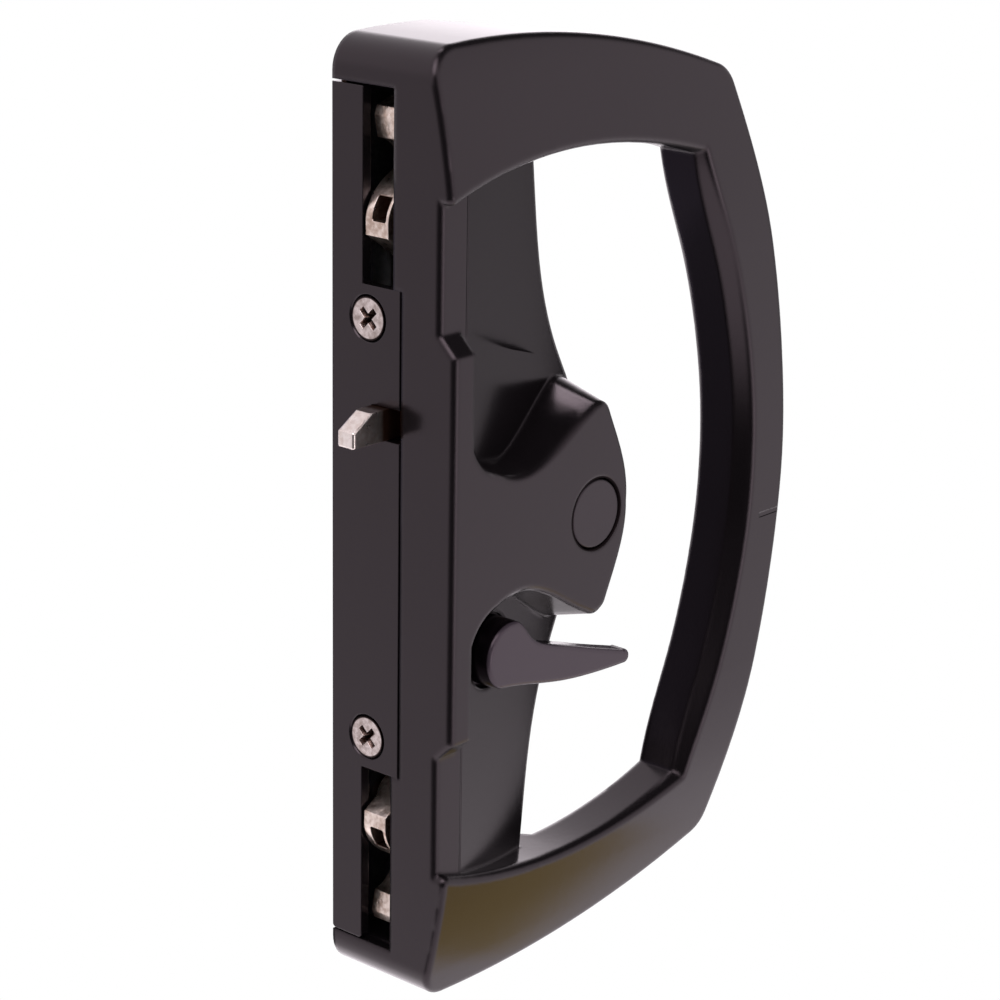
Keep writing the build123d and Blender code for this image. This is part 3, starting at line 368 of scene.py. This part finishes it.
# Back cover and lock works
# Sheet and turned parts in blue zinc plate, with the rolling grain along the lock.
paint(
    plated(
        "zinc_sheet", low=(0.46, 0.48, 0.50, 1), high=(0.56, 0.57, 0.58, 1),
        rough=0.3, skin=300.0, bump=0.12, stretch=(6, 6, 1), depth=0.005,
    ),
    "back_cover", "upper_slide", "lower_slide", "upper_bridge", "lower_bridge", "lock_chassis",
    "trigger_guide", "drive_cam",
)
paint(
    plated(
        "zinc_turned", low=(0.50, 0.51, 0.53, 1), high=(0.60, 0.61, 0.62, 1),
        rough=0.26, skin=800.0, bump=0.08, edge=0.0002,
    ),
    "cover_screws", "lever_spindle", "slide_guides", "beak_pivots", "bridge_spacers", "chassis_screws",
)


# Clips and spring
# Hard drawn spring steel, bright and a little dark in tone. The coil stands between the
# trigger's bore and the end of the channel.
paint(
    plated(
        "spring_steel", low=(0.34, 0.34, 0.35, 1), high=(0.42, 0.42, 0.43, 1),
        rough=0.2, skin=900.0, bump=0.05, edge=0.0001,
    ),
    "blank_clip", "spindle_clip", "trigger_spring",
)
press = next(j for j in frame["record"]["behaviour"]["joints"] if j["name"] == "trigger_press")
free_end, held_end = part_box("trigger_spring")
coil = bpy.data.objects.new("spring_coil", nodes["trigger_spring"].data.copy())
bpy.context.scene.collection.objects.link(coil)
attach(coil, "case")
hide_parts("trigger_spring")
free_length = held_end[0] - free_end[0]
(free_length - press["range_m"][1]) / free_length
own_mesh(coil)


# Mounting inserts
# Turned brass bushes.
paint(
    plated(
        "brass", low=(0.72, 0.54, 0.26, 1), high=(0.82, 0.64, 0.34, 1),
        rough=0.26, skin=600.0, bump=0.1, edge=0.0002,
    ),
    "mounting_inserts",
)


# Friction washer
# Moulded natural nylon.
nylon, shader, coord = material("nylon")
cloud = coord.noise(scale=200.0, detail=3.0)
feed(
    shader, Base_Color=cloud.mix((0.74, 0.73, 0.68, 1), (0.8, 0.79, 0.74, 1)),
    Roughness=0.5 + cloud * 0.1, Normal=relief(coord, cloud, strength=0.1, edge=0.0002),
)
paint(nylon, "friction_washer")


# Studio
# White all round to the camera. Gloss mirrors a level just under white, with brighter fields
# behind the lock, below it, in front, straight up and up on the left. Darker fields are the
# room behind the camera, high on the right, both sides and a small one low behind.
world = bpy.data.worlds.new("studio")
bpy.context.scene.world = world
world.use_nodes = True
wt = world.node_tree
wt.nodes.clear()
ray = Sock(wt).node("ShaderNodeTexCoord", out="Generated")


def field(direction, outer, inner):
    """1 within the inner angle of a direction, falling to 0 at the outer, in degrees."""
    unit = tuple(Vector(direction).normalized())
    return ray.vector("DOT_PRODUCT", ray, unit, out=1).ramp(
        math.cos(math.radians(outer)), math.cos(math.radians(inner))
    )


behind = field((0.75, 0.65, 0.10), outer=24, inner=8)
below = field((0.20, 0.60, -0.77), outer=32, inner=14)
downward = ray.axes()[2].ramp(-0.15, -0.65)
level = 0.9 + behind * 1.2 + below * 0.7 + downward * 0.25

room = field((-0.68, -0.73, 0.0), outer=46, inner=30)
high = field((0.50, -0.20, 0.84), outer=48, inner=30)
left = field((-0.96, 0.05, -0.28), outer=30, inner=16)
far_right = field((0.94, -0.17, -0.12), outer=24, inner=8)
beside = field((-0.73, 0.64, -0.20), outer=32, inner=8)
under = field((0.50, 0.47, -0.72), outer=11, inner=5)
for dark, share in (
    (room, 0.95), (high, 0.95), (left, 0.9), (far_right, 0.55), (beside, 0.2), (under, 0.65)
):
    level = level * (1.0 - dark * share)

window = field((-0.55, -0.25, 0.80), outer=26, inner=12)
front = field((0.10, -0.95, -0.20), outer=17, inner=6)
sky = field((0.21, 0.25, 0.95), outer=10, inner=5)
level = level + window * 3.0 + front * 1.5 + sky * 5.0

tinted = ray.vector("MULTIPLY", level, (1.0, 0.935, 0.98))
mirrored = ray.node("ShaderNodeBackground", inputs={"Color": tinted, "Strength": 1.0})
soft = ray.node("ShaderNodeBackground", inputs={"Color": (0.97, 0.96, 1.0, 1), "Strength": 0.6})
white = ray.node("ShaderNodeBackground", inputs={"Color": (1, 1, 1, 1), "Strength": 1.0})
is_glossy, is_camera, is_through = (
    ray.node("ShaderNodeLightPath", out="Is %s Ray" % kind) for kind in ("Glossy", "Camera", "Transmission")
)
lit = ray.node("ShaderNodeMixShader", inputs={0: is_glossy, 1: soft, 2: mirrored})
shown = ray.node("ShaderNodeMixShader", inputs={0: is_camera + is_through, 1: lit, 2: white})
ray.node("ShaderNodeOutputWorld", inputs={0: shown})


def area_light(name, location, target, size, radiance, in_gloss=False):
    """A soft box of a given brightness, unseen itself, which gloss may mirror."""
    data = bpy.data.lights.new(name, "AREA")
    data.shape = "RECTANGLE"
    data.size, data.size_y = size
    data.energy = radiance * math.pi * size[0] * size[1]
    o = bpy.data.objects.new(name, data)
    bpy.context.scene.collection.objects.link(o)
    o.location = location
    o.rotation_mode = "QUATERNION"
    o.rotation_quaternion = (Vector(target) - Vector(location)).to_track_quat("-Z", "Y")
    o.visible_camera = False
    o.visible_glossy = in_gloss


area_light("top_box", (0.1, -0.2, 0.9), (0, 0, 0), (0.8, 0.8), radiance=2.0)
area_light("left_box", (-0.9, -0.3, 0.25), (0, 0, 0), (0.5, 0.7), radiance=1.4)
area_light(
    "low_right", (0.33, -0.15, -0.33), (0.07, -0.03, -0.085), (0.12, 0.16), radiance=0.1, in_gloss=True
)


def card(name, centre, target, size, color):
    """A card that only gloss mirrors."""
    mesh = bpy.data.meshes.new(name)
    w, h = size[0] / 2, size[1] / 2
    mesh.from_pydata([(-w, -h, 0), (w, -h, 0), (w, h, 0), (-w, h, 0)], [], [(0, 1, 2, 3)])
    o = bpy.data.objects.new(name, mesh)
    bpy.context.scene.collection.objects.link(o)
    o.location = centre
    o.rotation_mode = "QUATERNION"
    o.rotation_quaternion = (Vector(target) - Vector(centre)).to_track_quat("Z", "Y")
    m = bpy.data.materials.new(name)
    m.use_nodes = True
    feed(
        m.node_tree.nodes["Principled BSDF"], Base_Color=(0, 0, 0, 1), Emission_Color=color,
        Emission_Strength=1.0, Specular_IOR_Level=0.0,
    )
    mesh.materials.append(m)
    for kind in ("camera", "diffuse", "shadow", "transmission", "volume_scatter"):
        setattr(o, "visible_" + kind, False)
    return o


# Cards close by: four darker ones stand behind the lock, as the frame of a door would, and
# the hood lies over the upper recess. The warm table shows in the end of the lower arm.
card("lintel", (0.012, 0.035, 0.025), (0.012, -1, 0.025), (0.1, 0.08), (0.20, 0.18, 0.24, 1))
card("hood", (0.010, -0.028, 0.036), (0.040, 0.002, 0.156), (0.013, 0.012), (0.004, 0.003, 0.004, 1))
card("transom", (0.012, 0.035, -0.035), (0.012, -1, -0.035), (0.1, 0.04), (0.10, 0.09, 0.12, 1))
card("door", (0.012, 0.035, -0.09), (0.012, -1, -0.09), (0.1, 0.07), (0.03, 0.025, 0.03, 1))
card("sill", (0.165, 0.035, -0.08), (0.165, -1, -0.08), (0.12, 0.12), (0.06, 0.05, 0.06, 1))
card("table", (0.182, -0.15, -0.256), (0.019, -0.039, -0.06), (0.09, 0.08), (0.86, 0.63, 0.22, 1))


# Floor
# Plain white, as far down as under a door, so the lock's shadow is out of view. Gloss looks
# past it at the studio.
floor = card("floor", (0, 0, -0.95), (0, 0, 0), (40.0, 40.0), (1, 1, 1, 1))
floor.visible_camera = True
floor.visible_glossy = False
floor.data.materials[0].cycles.emission_sampling = "NONE"


# Camera
# Long lens, a little above the object, turned round to the edge face.
cam_data = bpy.data.cameras.new("camera")
cam_data.lens = 104.886
cam_data.sensor_width = 36.0
cam_data.clip_start = 0.01
cam_data.clip_end = 20.0
camera = bpy.data.objects.new("camera", cam_data)
bpy.context.scene.collection.objects.link(camera)
bpy.context.scene.camera = camera
azimuth, elevation, roll = (math.radians(v) for v in (-48.815, 17.263, 0.969))
distance = 0.60138
back = Vector((
    math.sin(azimuth) * math.cos(elevation), -math.cos(azimuth) * math.cos(elevation),
    math.sin(elevation),
))
right = Vector((math.cos(azimuth), math.sin(azimuth), 0))
up = back.cross(right)
aim = Vector((-0.024, -0.017, 0)) + right * 0.022286 + up * 0.008573
local_x = right * math.cos(roll) + up * math.sin(roll)
local_y = up * math.cos(roll) - right * math.sin(roll)
camera.matrix_world = Matrix.Translation(aim + back * distance) @ Matrix((
    local_x, local_y, back
)).transposed().to_4x4()

bpy.context.scene.view_settings.view_transform = "Standard"
